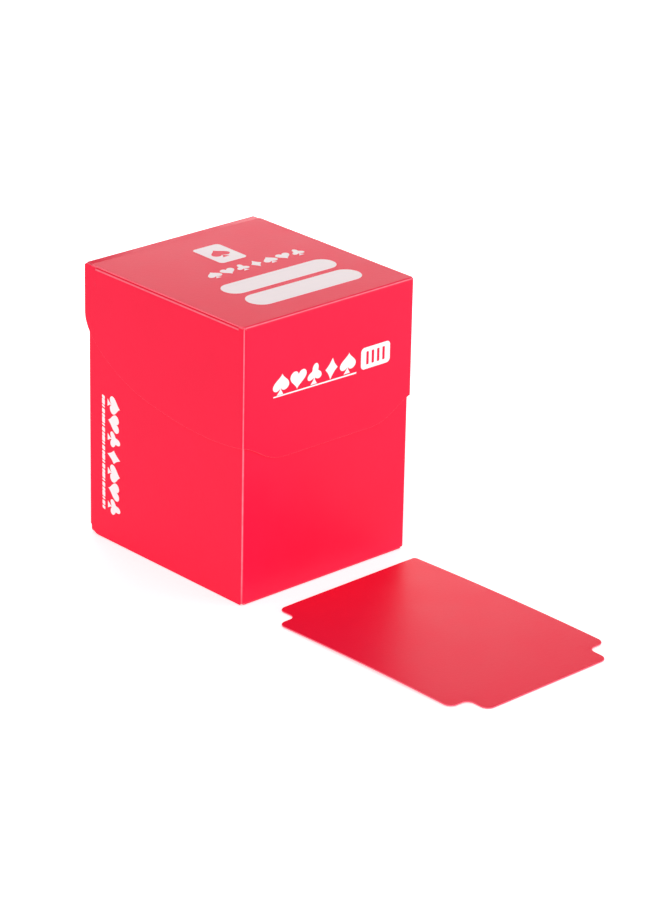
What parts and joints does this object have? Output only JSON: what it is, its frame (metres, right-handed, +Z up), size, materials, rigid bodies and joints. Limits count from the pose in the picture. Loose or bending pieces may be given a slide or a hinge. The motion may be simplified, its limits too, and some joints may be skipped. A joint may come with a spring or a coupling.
{
  "type": "card deck box",
  "caption": "Upright folded-plastic deck box for sleeved trading cards, with a lid on a living hinge and a loose divider card.",
  "frame": {"origin": "centre of the box's underside, where the closed box stands on the table", "axes": "+Z up, -Y towards the box's front and the divider, +X to the right seen from the front; the lid is closed at rest"},
  "size_m": [0.0744, 0.1857, 0.098],
  "materials": {
    "sheet": "satin red polypropylene sheet with a fine sandy grain",
    "crease": "the same sheet, whitened by the stress of the crease",
    "divider_sheet": "satin red polypropylene sheet with a fine sandy grain",
    "print_ink": "screen-printed white ink, used by pieces of the visual model only"
  },
  "bodies": {
    "body": {"back_panel": "sheet", "bottom_front_fold": "crease", "bottom_panel": "sheet", "bottom_rear_fold": "crease", "front_left_fold": "crease", "front_panel": "sheet", "front_right_fold": "crease", "left_back_flap": "sheet", "left_back_fold": "crease", "left_bottom_flap": "sheet", "left_bottom_fold": "crease", "left_side_panel": "sheet", "right_back_flap": "sheet", "right_back_fold": "crease", "right_bottom_flap": "sheet", "right_bottom_fold": "crease", "right_side_panel": "sheet"},
    "hinge": {"hinge_strip": "crease"},
    "lid": {"lid_front_fold": "crease", "lid_front_panel": "sheet", "lid_left_fold": "crease", "lid_left_panel": "sheet", "lid_left_tab": "sheet", "lid_left_tab_fold": "crease", "lid_right_fold": "crease", "lid_right_panel": "sheet", "lid_right_tab": "sheet", "lid_right_tab_fold": "crease", "lid_top_panel": "sheet"},
    "divider": {"divider": "divider_sheet"}
  },
  "joints": [
    {"name": "lower_crease", "type": "hinge", "parent": "body", "child": "hinge", "pos_m": [0, 0.03955, 0.0955], "axis": [-1, 0, 0], "range_deg": [0, 130]},
    {"name": "upper_crease", "type": "hinge", "parent": "hinge", "child": "lid", "pos_m": [0, 0.0373, 0.09775], "axis": [-1, 0, 0], "range_deg": [0, 130]},
    {"name": "divider_lift", "type": "slide", "parent": "body", "child": "divider", "axis": [0, 0, 1], "range_m": [0, 0.12]}
  ]
}
